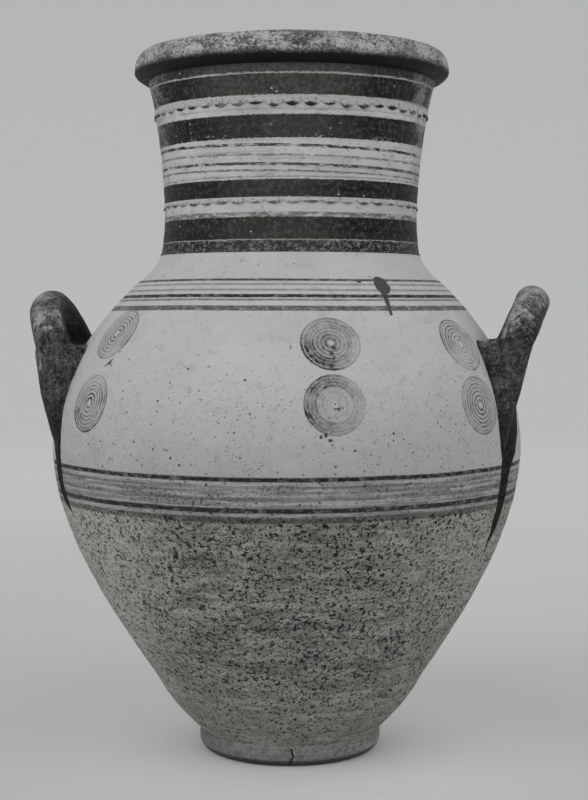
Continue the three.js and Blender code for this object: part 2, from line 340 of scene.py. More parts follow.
def buildCordon(name, values, seed):
    top, band, relief = values["top"], values["band"], values["relief"]
    scallops = round(2 * math.pi * outerRadius(top) / values["pitch"])
    section = [(-0.4, 0), (0.25, 0), (relief * 0.45, -0.5), (relief * 0.62, -1.5), (relief * 0.8, -2.6),
               (relief, -band + 0.5), (relief * 0.9, -band), (-0.4, -band)]
    outline = [(outerRadius(top + down) + out, top + down) for out, down in section]
    strip = turnedPiece(name, outline, scallops * 12)
    chance = random.Random(seed)
    sway = [chance.uniform(-1, 1) for _ in range(scallops + 1)]
    hanging = strip.data.attributes.new("hang", "FLOAT", "POINT")
    for vertex in strip.data.vertices:
        # Each scallop hangs a little differently, and its foot stands a little proud
        azimuth = math.atan2(vertex.co.y, vertex.co.x) % (2 * math.pi)
        place = azimuth / (2 * math.pi) * scallops
        index = int(place)
        arc = abs(math.sin(math.pi * place)) ** 0.8
        low = min(1, max(0, (top - vertex.co.z * 1000) / band))
        hang = values["drop"] * (1 + values["unevenness"] * sway[index]) * arc * low
        hanging.data[vertex.index].value = low * (0.42 + 0.58 * arc * arc) * (1 + 0.16 * sway[(index + 3) % scallops])
        height = vertex.co.z * 1000 - hang + 0.5 * sway[index] * low
        radius = math.hypot(vertex.co.x, vertex.co.y) * 1000
        radius += outerRadius(height) - outerRadius(vertex.co.z * 1000) - relief * 0.5 * (1 - arc) * low
        vertex.co = (radius * math.cos(azimuth) / 1000, radius * math.sin(azimuth) / 1000, height / 1000)
    return strip


# The handles: an upright arch of rod leaning out, blended into two long smeared roots
handleShape = {
    "crestReach": 244,
    "archRise": 57.5,
    "archSpread": 69,
    "lean": 22.5,
    "rodDepth": 34,
    "rodHeightAtRoot": 31,
    "legLength": 20,
    "ledgeBelowCrest": 45,
    "rootLength": 106,
    "rootProtrusion": 48,
    "rootBite": 12,
    "rootWidth": 32,
    "rootTipWidth": 9,
    "rootTopAngle": 15.6,
    "rootSplay": 6.2,
    "voxel": 1.9,
    "blending": 5,
    "unevenness": 1.9,
    "backing": {"start": 280, "end": 470, "depth": 1.2, "thickness": 6, "spread": 84},
    "seat": {"start": 255, "end": 492, "gap": 0.6, "turns": 180},
    "sides": {
        "rightHandle": {"turn": -2.4, "crest": 454.5, "taper": 1.65},
        "leftHandle": {"turn": 182.4, "crest": 450.0, "taper": 1.48},
    },
}


def handleArch(crest):
    spread, leg = handleShape["archSpread"] / 1000, handleShape["legLength"] / 1000
    lean = math.radians(handleShape["lean"])
    rise = handleShape["archRise"] / math.cos(lean) / 1000
    rodSize = (handleShape["rodDepth"] / 1000, handleShape["rodHeightAtRoot"] / 1000, 1)
    pickOnly()
    bpy.ops.mesh.primitive_circle_add(vertices=24, radius=0.5, location=(0, -spread, 0))
    arch = bpy.context.object
    bpy.ops.object.mode_set(mode="EDIT")
    bpy.ops.transform.resize(value=rodSize, center_override=(0, -spread, 0))
    bpy.ops.mesh.extrude_region_move(TRANSFORM_OT_translate={"value": (0, 0, leg)})
    bpy.ops.mesh.spin(steps=26, angle=math.pi, center=(0, 0, leg), axis=(1, 0, 0))
    bpy.ops.mesh.extrude_region_move(TRANSFORM_OT_translate={"value": (0, 0, -leg)})
    capEnds()
    bpy.ops.transform.resize(value=(1, 1, rise / spread), center_override=(0, 0, leg))
    finishSkin()
    archUp = Vector((math.sin(lean), 0, math.cos(lean)))
    arch.rotation_euler = (0, lean, 0)
    arch.location = Vector((handleShape["crestReach"] / 1000, 0, crest / 1000)) - archUp * (rise + leg)
    applyPlace()
    return arch


def rootSlices(crest, taper, side):
    # Centre, half length and half width of each level slice, from the tip up to the ledge
    ledge = crest - handleShape["ledgeBelowCrest"]
    slices = []
    steps = 12
    for i in range(steps, -3, -1):
        share = max(0, i / steps)
        level = ledge - handleShape["rootLength"] * share + (2.5 * -i if i < 0 else 0)
        scale = {-1: 0.9, -2: 0.66}.get(i, 1)
        protrusion = handleShape["rootProtrusion"] * (1 - share) ** taper - 1.6 * share ** 6
        angle = side * math.radians(handleShape["rootTopAngle"] + handleShape["rootSplay"] * share ** 0.8)
        length = protrusion + handleShape["rootBite"]
        x, y = math.cos(angle), math.sin(angle)
        width = handleShape["rootWidth"] + (handleShape["rootTipWidth"] - handleShape["rootWidth"]) * share ** 4
        reach = outerRadius(level) + protrusion - length / 2
        slices.append((reach * x, reach * y, level, length / 2 * scale, width / 2 * scale))
    return slices


def handleRoot(crest, taper, side):
    slices = rootSlices(crest, taper, side)
    x, y, z, halfLength, halfWidth = (v / 1000 for v in slices[0])
    pickOnly()
    bpy.ops.mesh.primitive_circle_add(vertices=20, radius=1, location=(x, y, z))
    root = bpy.context.object
    bpy.ops.object.mode_set(mode="EDIT")
    bpy.ops.transform.resize(value=(halfLength, halfWidth, 1), center_override=(x, y, z))
    for there in slices[1:]:
        nx, ny, nz, nextLength, nextWidth = (v / 1000 for v in there)
        widening = (nextLength / halfLength, nextWidth / halfWidth, 1)
        bpy.ops.mesh.extrude_region_move(TRANSFORM_OT_translate={"value": (nx - x, ny - y, nz - z)})
        bpy.ops.transform.resize(value=widening, center_override=(nx, ny, nz))
        x, y, z, halfLength, halfWidth = nx, ny, nz, nextLength, nextWidth
    capEnds()
    finishSkin()
    return root


def wallBacking():
    # A strip of wall behind the handle, for the clay to blend into
    values = handleShape["backing"]
    start, end, depth, spread = (values[key] for key in ("start", "end", "depth", "spread"))
    outline = wallRun(lambda z: outerRadius(z) - depth, start, end, 6.0)
    outline += wallRun(lambda z: outerRadius(z) - depth - values["thickness"], end, start, 6.0)
    backing = drawOutline(outline, True)
    bpy.ops.mesh.remove_doubles(threshold=0.00001)
    spinOutline(30, spread, 0.00001)
    capEnds()
    finishSkin()
    # Spin can turn either way, so the strip is centred by where it lies
    turnsBack = sum(vertex.co.y for vertex in backing.data.vertices) < 0
    backing.rotation_euler = (0, 0, math.radians(spread / 2 if turnsBack else -spread / 2))
    applyPlace()
    return backing


def buildHandle(name, values, cutter):
    arch = handleArch(values["crest"])
    roots = [handleRoot(values["crest"], values["taper"], side) for side in (1, -1)]
    pickOnly(arch, wallBacking(), *roots)
    bpy.ops.object.join()
    handle = bpy.context.object
    handle.name = name
    remesh = handle.modifiers.new("Knead", "REMESH")
    remesh.mode = "VOXEL"
    remesh.voxel_size = handleShape["voxel"] / 1000
    smooth = handle.modifiers.new("Smooth", "SMOOTH")
    smooth.factor = 0.5
    smooth.iterations = handleShape["blending"]
    applyAll(handle)
    unevenSurface(handle, name + "Clay", 0.035, handleShape["unevenness"])
    handle.rotation_euler = (0, 0, math.radians(values["turn"]))
    applyPlace()
    cutAway(handle, cutter)
    bpy.ops.object.shade_smooth_by_angle(angle=math.radians(50))
    return handle


def buildSeatCutter():
    # The jar's outside as one solid, which shapes the back of each handle
    values = handleShape["seat"]
    start, end = values["start"], values["end"]
    outline = wallRun(lambda z: outerRadius(z) - values["gap"], start, end, 4.0)
    return turnedPiece("seatCutter", [(0.001, start)] + outline + [(0.001, end)], values["turns"], closed=False)


print("modelling the wall")
foot = buildFoot()
jarPieces = [foot, buildLowerBody(), buildUpperBody(), buildNeck(), buildRim()]
print("modelling the cordons")
jarPieces += [buildCordon(name, values, seed) for seed, (name, values) in enumerate(cordonShape.items())]
print("modelling the handles")
seatCutter = buildSeatCutter()
jarPieces += [buildHandle(name, values, seatCutter) for name, values in handleShape["sides"].items()]
bpy.data.objects.remove(seatCutter)

# The jar is not quite true: the belly sits a little to the left and the mouth to the right
settling = {
    "size": (0.64, 0.58, 0.74),
    "centre": (0, 0, 0.35),
    "shifts": [0, -0.5, -1.8, -3.4, -3.2, -0.6, 0.8, 1.4, 2.4],
    "unevenness": 0.45,
    "across": 5,
    "seed": 11,
}


def settle(pieces):
    size, across, shifts = settling["size"], settling["across"], settling["shifts"]
    pickOnly()
    bpy.ops.object.add(type="LATTICE", location=settling["centre"])
    cage = bpy.context.object
    cage.scale = size
    cage.data.points_u, cage.data.points_v, cage.data.points_w = across, across, len(shifts)
    chance = random.Random(settling["seed"])
    for index, corner in enumerate(cage.data.points):
        level = index // (across * across)
        offsets = [chance.uniform(-1, 1) * settling["unevenness"] / 1000 / size[k] for k in range(3)]
        place = corner.co_deform.copy()
        place.x += shifts[level] / 1000 / size[0] + offsets[0]
        place.y += offsets[1]
        if level > 0:
            place.z += offsets[2] * 0.5
        corner.co_deform = place
    bpy.context.view_layer.update()
    for piece in pieces:
        modifier = piece.modifiers.new("Settle", "LATTICE")
        modifier.object = cage
        applyAll(piece)
    bpy.data.objects.remove(cage)


settle(jarPieces)
lowest = min(vertex.co.z for vertex in foot.data.vertices)
for vertex in foot.data.vertices:
    vertex.co.z = max(0.0, vertex.co.z - lowest)
print("faces:", {piece.name: len(piece.data.polygons) for piece in jarPieces})


def addNode(kind, sockets=None, tree=None, **settings):
    # A node in the given tree, or in that of the sockets that feed it
    sockets = sockets or {}
    feeding = [value for value in sockets.values() if isinstance(value, bpy.types.NodeSocket)]
    tree = feeding[0].id_data if tree is None else tree
    node = tree.nodes.new(kind)
    for key, value in settings.items():
        setattr(node, key, value)
    for key, value in sockets.items():
        if isinstance(value, bpy.types.NodeSocket):
            tree.links.new(value, node.inputs[key])
        else:
            node.inputs[key].default_value = value
    return node


def maths(operation, first, second=0.0, third=0.0, clamp=False):
    sockets = {0: first, 1: second, 2: third}
    return addNode("ShaderNodeMath", sockets, operation=operation, use_clamp=clamp).outputs[0]


def times(first, second, clamp=False):
    return maths("MULTIPLY", first, second, clamp=clamp)


def less(first, second):
    return maths("SUBTRACT", first, second)


def inverse(share):
    return less(1.0, share)


def most(first, *others):
    for other in others:
        first = maths("MAXIMUM", first, other)
    return first


def added(base, value, share):
    return maths("MULTIPLY_ADD", value, share, base)


def nudged(base, wave, strength):
    # A noise swings about a half
    return added(base, less(wave, 0.5), strength)


def mixture(first, *others):
    # A sum of values, each with its own share
    total = times(*first)
    for value, share in others:
        total = added(total, value, share)
    return total


def step(value, start, end, low=0.0, high=1.0):
    # A soft step from low to high, while the value goes from start to end
    sockets = {"Value": value, "From Min": start, "From Max": end, "To Min": low, "To Max": high}
    return addNode("ShaderNodeMapRange", sockets, interpolation_type="SMOOTHSTEP").outputs[0]


def edgeMask(distance, softness):
    return step(distance, -softness, softness, 1.0, 0.0)


def blend(share, first, second):
    return addNode("ShaderNodeMix", {0: share, 6: first, 7: second}, data_type="RGBA").outputs[2]


def tones(share, pair, warmth=0.0):
    return blend(share, grey(pair[0], warmth), grey(pair[1], warmth))


def coat(colour, share, tone, warmth=0.0):
    return blend(share, colour, grey(tone, warmth))


def vectorMaths(operation, first, second=(0, 0, 0)):
    node = addNode("ShaderNodeVectorMath", {0: first, 1: second}, operation=operation)
    return node.outputs[1 if operation in ("LENGTH", "DISTANCE", "DOT_PRODUCT") else 0]


def stretched(vector, upright, sideways=1.0):
    return vectorMaths("MULTIPLY", vector, (sideways, sideways, upright))


def axesOf(vector):
    return addNode("ShaderNodeSeparateXYZ", {0: vector}).outputs


def noise(vector, scale, detail, roughness=0.55):
    sockets = {"Vector": vector, "Scale": scale, "Detail": detail, "Roughness": roughness}
    return addNode("ShaderNodeTexNoise", sockets).outputs[0]


def ramp(value, stops, interpolation="LINEAR"):
    node = addNode("ShaderNodeValToRGB", {0: value})
    node.color_ramp.interpolation = interpolation
    elements = node.color_ramp.elements
    while len(elements) < len(stops):
        elements.new(0.5)
    for element, (place, _) in zip(elements, stops):
        element.position = place
    for element, (_, colour) in zip(elements, stops):
        element.color = (*colour, 1)
    return node.outputs[0]


def newEffect(name, inputs):
    # A node group. An input with no number of its own is a vector
    effect = bpy.data.node_groups.new(name, "ShaderNodeTree")
    for label, value in inputs.items():
        kind = "NodeSocketVector" if value is None else "NodeSocketFloat"
        socket = effect.interface.new_socket(name=label, in_out="INPUT", socket_type=kind)
        if value is not None:
            socket.default_value = value
    return effect.nodes.new("NodeGroupInput").outputs


def closeEffect(label, value):
    # The group's one output
    effect = value.id_data
    effect.interface.new_socket(name=label, in_out="OUTPUT", socket_type="NodeSocketFloat")
    addNode("NodeGroupOutput", {label: value})
    return effect


def useEffect(effect, values):
    return addNode("ShaderNodeGroup", values, node_tree=effect).outputs[0]


def makeBrushHeight():
    # Height above the floor as the brush followed it, with its slow sway and its ragged edge
    entry = newEffect("brushHeight", {"Vector": None, "Sway": 0.0016, "Ragged": 0.0008})
    swayed = nudged(axesOf(entry["Vector"])["Z"], noise(entry["Vector"], 7, 1), entry["Sway"])
    return closeEffect("Height", nudged(swayed, noise(entry["Vector"], 330, 2, 0.7), entry["Ragged"]))


def makeBrushStroke():
    # 1 inside a stroke at a level, 0 outside
    entry = newEffect("brushStroke", {
        "Height": 0.0, "Level": 0.0, "Width": 0.002, "Softness": 0.0006, "Strength": 1.0})
    away = maths("ABSOLUTE", less(entry["Height"], entry["Level"]))
    edge = maths("DIVIDE", added(away, entry["Width"], -0.5), entry["Softness"])
    return closeEffect("Mask", times(edgeMask(edge, 0.5), entry["Strength"]))


def makeSpecks():
    # Grit: spots of uneven size, in a share of the cells
    entry = newEffect("specks", {"Vector": None, "Scale": 400.0, "Share": 0.1, "Radius": 0.35})
    cells = addNode("ShaderNodeTexVoronoi", {"Vector": entry["Vector"], "Scale": entry["Scale"]})
    chance = addNode("ShaderNodeSeparateColor", {0: cells.outputs["Color"]}).outputs
    chosen = maths("LESS_THAN", chance[0], entry["Share"])
    size = times(added(0.4, chance[1], 0.8), entry["Radius"])
    spot = edgeMask(less(cells.outputs["Distance"], size), 0.08)
    return closeEffect("Mask", times(times(spot, chosen), added(0.4, chance[2], 0.6)))


def makePitting():
    # Small dark pits and scratches, crowded in some places and sparse in others
    entry = newEffect("pitting", {"Vector": None, "Scale": 300.0, "Amount": 0.5})
    upright = stretched(entry["Vector"], 1.3)
    crowd = noise(upright, times(entry["Scale"], 0.12), 4, 0.65)
    level = nudged(added(0.33, entry["Amount"], 0.16), crowd, 0.19)
    return closeEffect("Mask", edgeMask(less(noise(upright, entry["Scale"], 3, 0.75), level), 0.018))


def makeFlaking():
    # Where a coat has worn through: large soft areas broken up by small flakes
    entry = newEffect("flaking", {"Vector": None, "Amount": 0.3, "Scale": 60.0, "Softness": 0.1})
    areas = noise(entry["Vector"], entry["Scale"], 4, 0.65)
    flakes = noise(entry["Vector"], times(entry["Scale"], 7.0), 3, 0.7)
    level = added(0.29, inverse(entry["Amount"]), 0.42)
    edge = maths("DIVIDE", less(mixture((areas, 0.55), (flakes, 0.45)), level), entry["Softness"])
    return closeEffect("Mask", step(edge, -0.5, 0.5))


def makeThrowingLines():
    # Fine level streaks from the wheel
    entry = newEffect("throwingLines", {"Vector": None, "Fineness": 260.0})
    squash = addNode("ShaderNodeCombineXYZ", {0: 7.0, 1: 7.0, 2: entry["Fineness"]}).outputs[0]
    return closeEffect("Value", noise(vectorMaths("MULTIPLY", entry["Vector"], squash), 1.0, 4, 0.6))


# Circles drawn with a many-brushed compass: ring radii in millimetres with their depth of tone,
# washes between two radii, and the narrow gaps that the brushes left in them
compassShapes = {
    "rings": {"rings": [(4.7, 0.8), (9.0, 0.76), (13.2, 0.6), (16.9, 0.62), (20.5, 0.64), (24.1, 0.46), (27.1, 0.74)],
              "washes": [(2.6, 27.1, 0.1)], "gaps": [], "line": 1.5},
    "greyMiddle": {"rings": [(4.9, 0.6), (8.9, 0.56)],
                   "washes": [(3.0, 6.4, 0.42), (7.2, 10.2, 0.42), (11.0, 14.2, 0.4), (15.2, 24.6, 0.54),
                              (25.6, 27.6, 0.58)],
                   "gaps": [17.6, 20.9], "line": 1.2},
    "greyEdge": {"rings": [(17.2, 0.5)],
                 "washes": [(3.0, 5.8, 0.34), (6.5, 9.2, 0.3), (9.9, 12.6, 0.38), (13.3, 15.4, 0.3),
                            (16.2, 28.0, 0.62)],
                 "gaps": [19.2, 22.6, 25.6], "line": 1.0},
}
compassSizes = {
    "reach": 32,
    "outerRing": 28,
    "washEdge": 0.35,
    "gapEdge": 0.6,
    "gapDepth": 0.45,
}


def compassTone(shape, radius):
    tone = max([0] + [wash for start, end, wash in shape["washes"] if start <= radius <= end])
    for ring, depth in shape["rings"]:
        tone = max(tone, depth * max(0, 1 - abs(radius - ring) / shape["line"]))
    if any(abs(radius - gap) < 0.2 for gap in shape["gaps"]):
        tone *= compassSizes["gapDepth"]
    return tone


def makeCompass(kind):
    shape, reach = compassShapes[kind], compassSizes["reach"]
    entry = newEffect("compass" + kind.capitalize(), {"Vector": None, "Centre": None, "Heavy": None, "Strength": 1.0})
    places = {0.0}
    for ring, _ in shape["rings"]:
        places |= {ring - shape["line"], ring, ring + shape["line"]}
    for start, end, _ in shape["washes"]:
        places |= {start - compassSizes["washEdge"], start, end, end + compassSizes["washEdge"]}
    for gap in shape["gaps"]:
        places |= {gap - compassSizes["gapEdge"], gap, gap + compassSizes["gapEdge"]}
    places = sorted(places)
    # A ramp takes 32 stops, and two of them can't share a place
    places = [here for i, here in enumerate(places) if i == 0 or here - places[i - 1] > 0.1][:32]
    offset = vectorMaths("SUBTRACT", entry["Vector"], entry["Centre"])
    pressed = added(1.0, vectorMaths("DOT_PRODUCT", offset, entry["Heavy"]), 1000 / compassSizes["outerRing"])
    tone = ramp(times(vectorMaths("LENGTH", offset), 1000 / reach),
                [(radius / reach, (compassTone(shape, radius),) * 3) for radius in places])
    return closeEffect("Mask", times(times(tone, entry["Strength"]), pressed, clamp=True))


paintEdge = 0.0006  # half the soft edge of thick paint, in metres


def raggedEdge(entry, away, radius):
    # 1 within a radius that frays a little
    frayed = nudged(away, noise(entry["Vector"], 160, 3, 0.6), entry["Ragged"])
    return edgeMask(less(frayed, radius), paintEdge)


def makeSpot():
    # A spot of paint about a point
    entry = newEffect("paintSpot", {"Vector": None, "Centre": None, "Radius": 0.01, "Ragged": 0.003})
    away = vectorMaths("DISTANCE", entry["Vector"], entry["Centre"])
    return closeEffect("Mask", raggedEdge(entry, away, entry["Radius"]))


def makeRun():
    # Paint that ran from one point along a vector and thinned out
    entry = newEffect("paintRun", {
        "Vector": None, "Start": None, "Along": None, "Wide": 0.003, "Narrow": 0.0015, "Ragged": 0.002})
    offset, along = vectorMaths("SUBTRACT", entry["Vector"], entry["Start"]), entry["Along"]
    length = vectorMaths("DOT_PRODUCT", along, along)
    share = maths("DIVIDE", vectorMaths("DOT_PRODUCT", offset, along), length, clamp=True)
    away = vectorMaths("DISTANCE", offset, vectorMaths("MULTIPLY", along, share))
    radius = added(entry["Wide"], less(entry["Narrow"], entry["Wide"]), share)
    return closeEffect("Mask", raggedEdge(entry, away, radius))


print("making the finishes")
brushHeight = makeBrushHeight()
brushStroke = makeBrushStroke()
specks = makeSpecks()
pitting = makePitting()
flaking = makeFlaking()
throwingLines = makeThrowingLines()
compassEffects = {kind: makeCompass(kind) for kind in compassShapes}
paintSpot = makeSpot()
paintRun = makeRun()


def brushed(vector, sway, ragged):
    return useEffect(brushHeight, {"Vector": vector, "Sway": sway, "Ragged": ragged})


def scattered(vector, scale, share, radius):
    return useEffect(specks, {"Vector": vector, "Scale": scale, "Share": share, "Radius": radius})


def pitted(vector, scale, amount):
    return useEffect(pitting, {"Vector": vector, "Scale": scale, "Amount": amount})


def flaked(vector, amount, scale, softness):
    return useEffect(flaking, {"Vector": vector, "Amount": amount, "Scale": scale, "Softness": softness})


def thrown(vector, fineness):
    return useEffect(throwingLines, {"Vector": vector, "Fineness": fineness})


def strokes(height, rows, softness=0.0007):
    # All the strokes of a list of level, width and strength, laid over each other
    return most(*(useEffect(brushStroke, {
        "Height": height, "Level": level / 1000, "Width": width / 1000, "Softness": softness,
        "Strength": strength}) for level, width, strength in rows))


def startMaterial(name):
    material = bpy.data.materials.new(name)
    material.use_nodes = True
    material.node_tree.nodes.clear()
    return material, addNode("ShaderNodeTexCoord", tree=material.node_tree).outputs["Object"]


def finishMaterial(material, colour, roughness, specular, height=None, bumpHeight=0.0):
    surface = {"Base Color": colour, "Roughness": roughness, "Specular IOR Level": specular}
    if height is not None:
        bump = addNode("ShaderNodeBump", {"Strength": 1.0, "Distance": bumpHeight, "Height": height})
        surface["Normal"] = bump.outputs[0]
    addNode("ShaderNodeOutputMaterial", {0: addNode("ShaderNodeBsdfPrincipled", surface).outputs[0]})
    return material


def pointOnWall(azimuth, height):
    # A point of the settled wall, from its azimuth off -Y towards +X and its height
    turn, radius, levels = math.radians(azimuth), outerRadius(height), settling["shifts"]
    cageHeight = settling["size"][2]
    place = (height / 1000 - settling["centre"][2] + cageHeight / 2) / cageHeight * (len(levels) - 1)
    index = min(len(levels) - 2, max(0, int(place)))
    shift = levels[index] + (levels[index + 1] - levels[index]) * (place - index)
    x = radius * math.sin(turn) + shift * 0.85  # the cage moves its surface a little less than its points
    return (x / 1000, -radius * math.cos(turn) / 1000, height / 1000)


# The slipped wall: its coats as grey level and warmth, and where the brush and the compass stood
wallFinish = {
    "slip": (181, 190),
    "paint": (24, 46),
    "thickPaint": (16, 48),
    "clay": (138, 170),
    "warmth": 3,
    "coats": {"paintedShade": (153, 0), "mottle": (152, 0), "grain": (120, 0), "wash": (130, 0), "washSpot": (30, 0),
              "clayPatch": (84, 3), "sideLitClay": (177, 3), "lowClay": (134, 3), "fleck": (178, 2), "pit": (16, 1.5),
              "speck": (30, 1), "paintFleck": (120, 1)},
    "slipEnd": (258, 266),
    "shoulderLines": [(472.4, 2.1, 0.82), (468.2, 1.9, 0.42), (463.0, 2.0, 0.45), (457.5, 3.0, 0.96),
                      (453.9, 1.8, 0.6), (446.2, 4.6, 0.74)],
    "bellyLines": [(296.0, 4.0, 0.95), (289.2, 2.6, 0.38), (285.0, 3.4, 0.22), (279.0, 3.6, 0.42), (272.6, 1.4, 0.2),
                   (268.3, 4.6, 0.88), (259.8, 5.6, 0.6)],
    "compasses": [
        ("rings", -50.6, 422, 0.95, (0.2, -0.2, -0.2)), ("greyMiddle", 15.9, 415, 1.0, (-0.32, 0, -0.3)),
        ("rings", 58.1, 412.5, 1.0, (-0.1, -0.1, 0.1)), ("rings", -49.0, 358, 1.5, (0, 0, -0.45)),
        ("greyEdge", 15.8, 361.5, 1.0, (-0.5, 0, -0.25)), ("rings", 57.0, 356.3, 0.95, (-0.2, -0.1, -0.2)),
        ("rings", 131, 417, 0.9, (0.2, 0, -0.2)), ("greyMiddle", 177, 414, 1.0, (0.2, 0, 0.2)),
        ("rings", 226, 416, 0.9, (0, 0.1, 0.2)), ("greyEdge", 130, 359, 0.9, (0, 0.1, -0.3)),
        ("rings", 178, 360, 1.1, (-0.3, 0, -0.1)), ("greyEdge", 227, 360, 0.9, (0.1, 0, -0.3))],
    "spots": [
        ((38.6, 470.5), 7.2, 5), ((38.1, 466.5), 8.6, 5), ((37.8, 463.5), 7.0, 5), ((29.7, 470.5), 2.2, 1),
        ((-46.4, 395.5), 2.6, 8), ((16.5, 410.9), 2.5, 4), ((15.8, 405.8), 2.2, 4), ((16.4, 402.4), 1.6, 3),
        ((15.5, 395), 2.3, 4), ((15.8, 357.4), 1.9, 8), ((16.5, 357.6), 1.7, 7), ((15.8, 361.6), 1.1, 3),
        ((13.6, 335), 2.4, 7), ((12.6, 333.5), 1.8, 6), ((14.4, 331), 1.6, 5), ((-19.5, 391.7), 1.1, 1),
        ((203, 431), 4.5, 5), ((146, 338), 3.5, 7)],
    "drips": [((37.3, 462), (36.0, 440.6), 3.8, 1.5), ((-45.8, 398), (-47.9, 392), 1.3, 0.7)],
}


def wallMaterial(name):
    values, coats = wallFinish, wallFinish["coats"]
    material, place = startMaterial(name)
    axes = axesOf(place)
    height = brushed(place, 0.0022, 0.0011)
    plainHeight = axes["Z"]
    streaks = thrown(place, 210.0)
    grain = noise(place, 620, 3, 0.65)
    grit = noise(place, 190, 4, 0.7)

    slip = tones(step(noise(place, 11, 4, 0.6), 0.32, 0.68), values["slip"])
    # The slip is darker lower down the belly, in patches: painted shade where the light falls off down the wall
    lowerShade = times(step(plainHeight, 0.42, 0.285), step(noise(place, 22, 4, 0.6), 0.3, 0.75, 0.5, 1.0))
    slip = coat(slip, times(lowerShade, 0.72), *coats["paintedShade"])
    slip = coat(slip, step(noise(place, 75, 5, 0.7), 0.5, 0.72, 0.0, 0.5), *coats["mottle"])
    slip = coat(slip, times(step(grain, 0.42, 0.7), 0.1), *coats["grain"])

    clay = tones(step(streaks, 0.3, 0.7), values["clay"], values["warmth"])
    patches = noise(stretched(place, 3.4), 30, 5, 0.72)
    clay = coat(clay, step(patches, 0.4, 0.62, 0.0, 0.56), *coats["clayPatch"])
    # The clay is painted lighter at both sides, most on the left: painted light and sheen where the wall turns away,
    # with fewer pits showing there
    sideLight = most(step(axes["X"], -0.06, -0.17), step(axes["X"], 0.08, 0.18, 0.0, 0.52))
    clay = coat(clay, times(sideLight, 0.78), *coats["sideLitClay"])
    clay = coat(clay, step(plainHeight, 0.13, 0.05, 0.0, 0.34), *coats["lowClay"])
    clay = coat(clay, times(scattered(place, 390.0, 0.16, 0.42), 0.6), *coats["fleck"])
    crowding = added(step(plainHeight, 0.04, 0.11, 0.38, 0.62), sideLight, -0.12)
    pits = most(pitted(place, 225.0, crowding), scattered(place, 330.0, times(crowding, 0.55), 0.4),
                times(pitted(place, 560.0, crowding), 0.6))
    clay = coat(clay, times(pits, 0.95), *coats["pit"])

    # The slip ends in a ragged wash over the clay
    slipEdge = nudged(nudged(height, streaks, 0.018), patches, 0.012)
    slipped = step(slipEdge, values["slipEnd"][0] / 1000, values["slipEnd"][1] / 1000)
    fineStreaks = noise(stretched(place, 330.0, 17.0), 1.0, 4, 0.65)
    streaky = step(added(fineStreaks, grit, 0.25), 0.54, 0.7, 0.05, 0.95)
    washZone = step(plainHeight, 0.2965, 0.290)
    slip = coat(slip, times(washZone, streaky), *coats["wash"])
    spotted = times(washZone, added(0.5, streaky, 0.4))
    slip = coat(slip, times(pitted(place, 330.0, 0.5), spotted), *coats["washSpot"])
    colour = blend(slipped, clay, slip)

    # Lines and circles, worn thin in patches
    lines = most(strokes(height, values["shoulderLines"]), strokes(height, values["bellyLines"], 0.0017))
    patchy = step(noise(stretched(place, 1.8), 130, 5, 0.8), 0.36, 0.54, 0.66, 1.12)
    circles = most(*(useEffect(compassEffects[kind], {
        "Vector": place, "Centre": pointOnWall(azimuth, level), "Heavy": heavy, "Strength": strength})
        for kind, azimuth, level, strength, heavy in values["compasses"]))
    worn = times(step(noise(place, 320, 4, 0.85), 0.36, 0.6, 0.62, 1.25),
                 step(noise(place, 30, 3, 0.6), 0.37, 0.63, 0.58, 1.25))
    marks = most(times(lines, patchy, clamp=True), times(circles, worn, clamp=True))
    for (azimuth, level), radius, ragged in values["spots"]:
        spot = useEffect(paintSpot, {
            "Vector": place, "Centre": pointOnWall(azimuth, level), "Radius": radius / 1000, "Ragged": ragged / 1000})
        marks = most(marks, times(spot, 0.9))
    for start, end, wide, narrow in values["drips"]:
        top, tip = pointOnWall(*start), pointOnWall(*end)
        drip = useEffect(paintRun, {
            "Vector": place, "Start": top, "Along": tuple(tip[k] - top[k] for k in range(3)),
            "Wide": wide / 1000, "Narrow": narrow / 1000})
        marks = most(marks, times(drip, 0.9))
    tails = handleTails(place, axes)
    colour = blend(marks, colour, tones(step(grit, 0.4, 0.7), values["paint"]))
    thick = tones(step(grit, 0.42, 0.66), values["thickPaint"], 2)
    thick = coat(thick, times(scattered(place, 430.0, 0.1, 0.4), 0.4), *coats["paintFleck"])
    colour = blend(tails, colour, thick)

    # Dark specks, more of them towards the belly and a little bent out of round
    crowd = step(noise(place, 26, 3, 0.6), 0.36, 0.66, 0.3, 1.7)
    share = times(step(plainHeight, 0.46, 0.275, 0.005, 0.1), crowd)
    bent = vectorMaths("ADD", place, times(noise(place, 700, 2, 0.6), 0.0016))
    darkSpecks = most(scattered(bent, 360.0, share, 0.36), times(scattered(bent, 760.0, times(share, 1.6), 0.4), 0.7))
    colour = coat(colour, times(darkSpecks, 0.9), *coats["speck"])
    hollows = most(darkSpecks, times(inverse(slipped), pits))
    relief = mixture((streaks, 0.5), (grain, 0.35), (grit, 0.4), (hollows, -0.9))
    roughness = step(most(marks, tails), 0.0, 1.0, 0.85, 0.6)
    shine = added(0.18, tails, -0.16)
    return finishMaterial(material, colour, roughness, shine, relief, 0.0006)


# The handles' paint on the wall: level, inner edge and outer edge, sideways from the handle's middle
tailShape = {
    "middle": -8.5,
    "right": [(214, 77, 77), (236, 70.5, 82), (262, 69.5, 88), (288, 70.5, 90.5), (304, 57.5, 93), (322, 43, 95.5),
              (340, 27, 92), (350, 14, 88), (356, 0, 86), (385, 0, 76), (412, 0, 58)],
    "left": [(248, 106, 106), (262, 90, 104.5), (276, 82.5, 101.5), (306, 79, 102), (326, 56, 99), (340, 34, 93),
             (350, 16, 89), (356, 0, 86), (385, 0, 75), (408, 0, 58)],
    "sag": 14,
    "sagReach": 50,
    "farthest": 120,
}


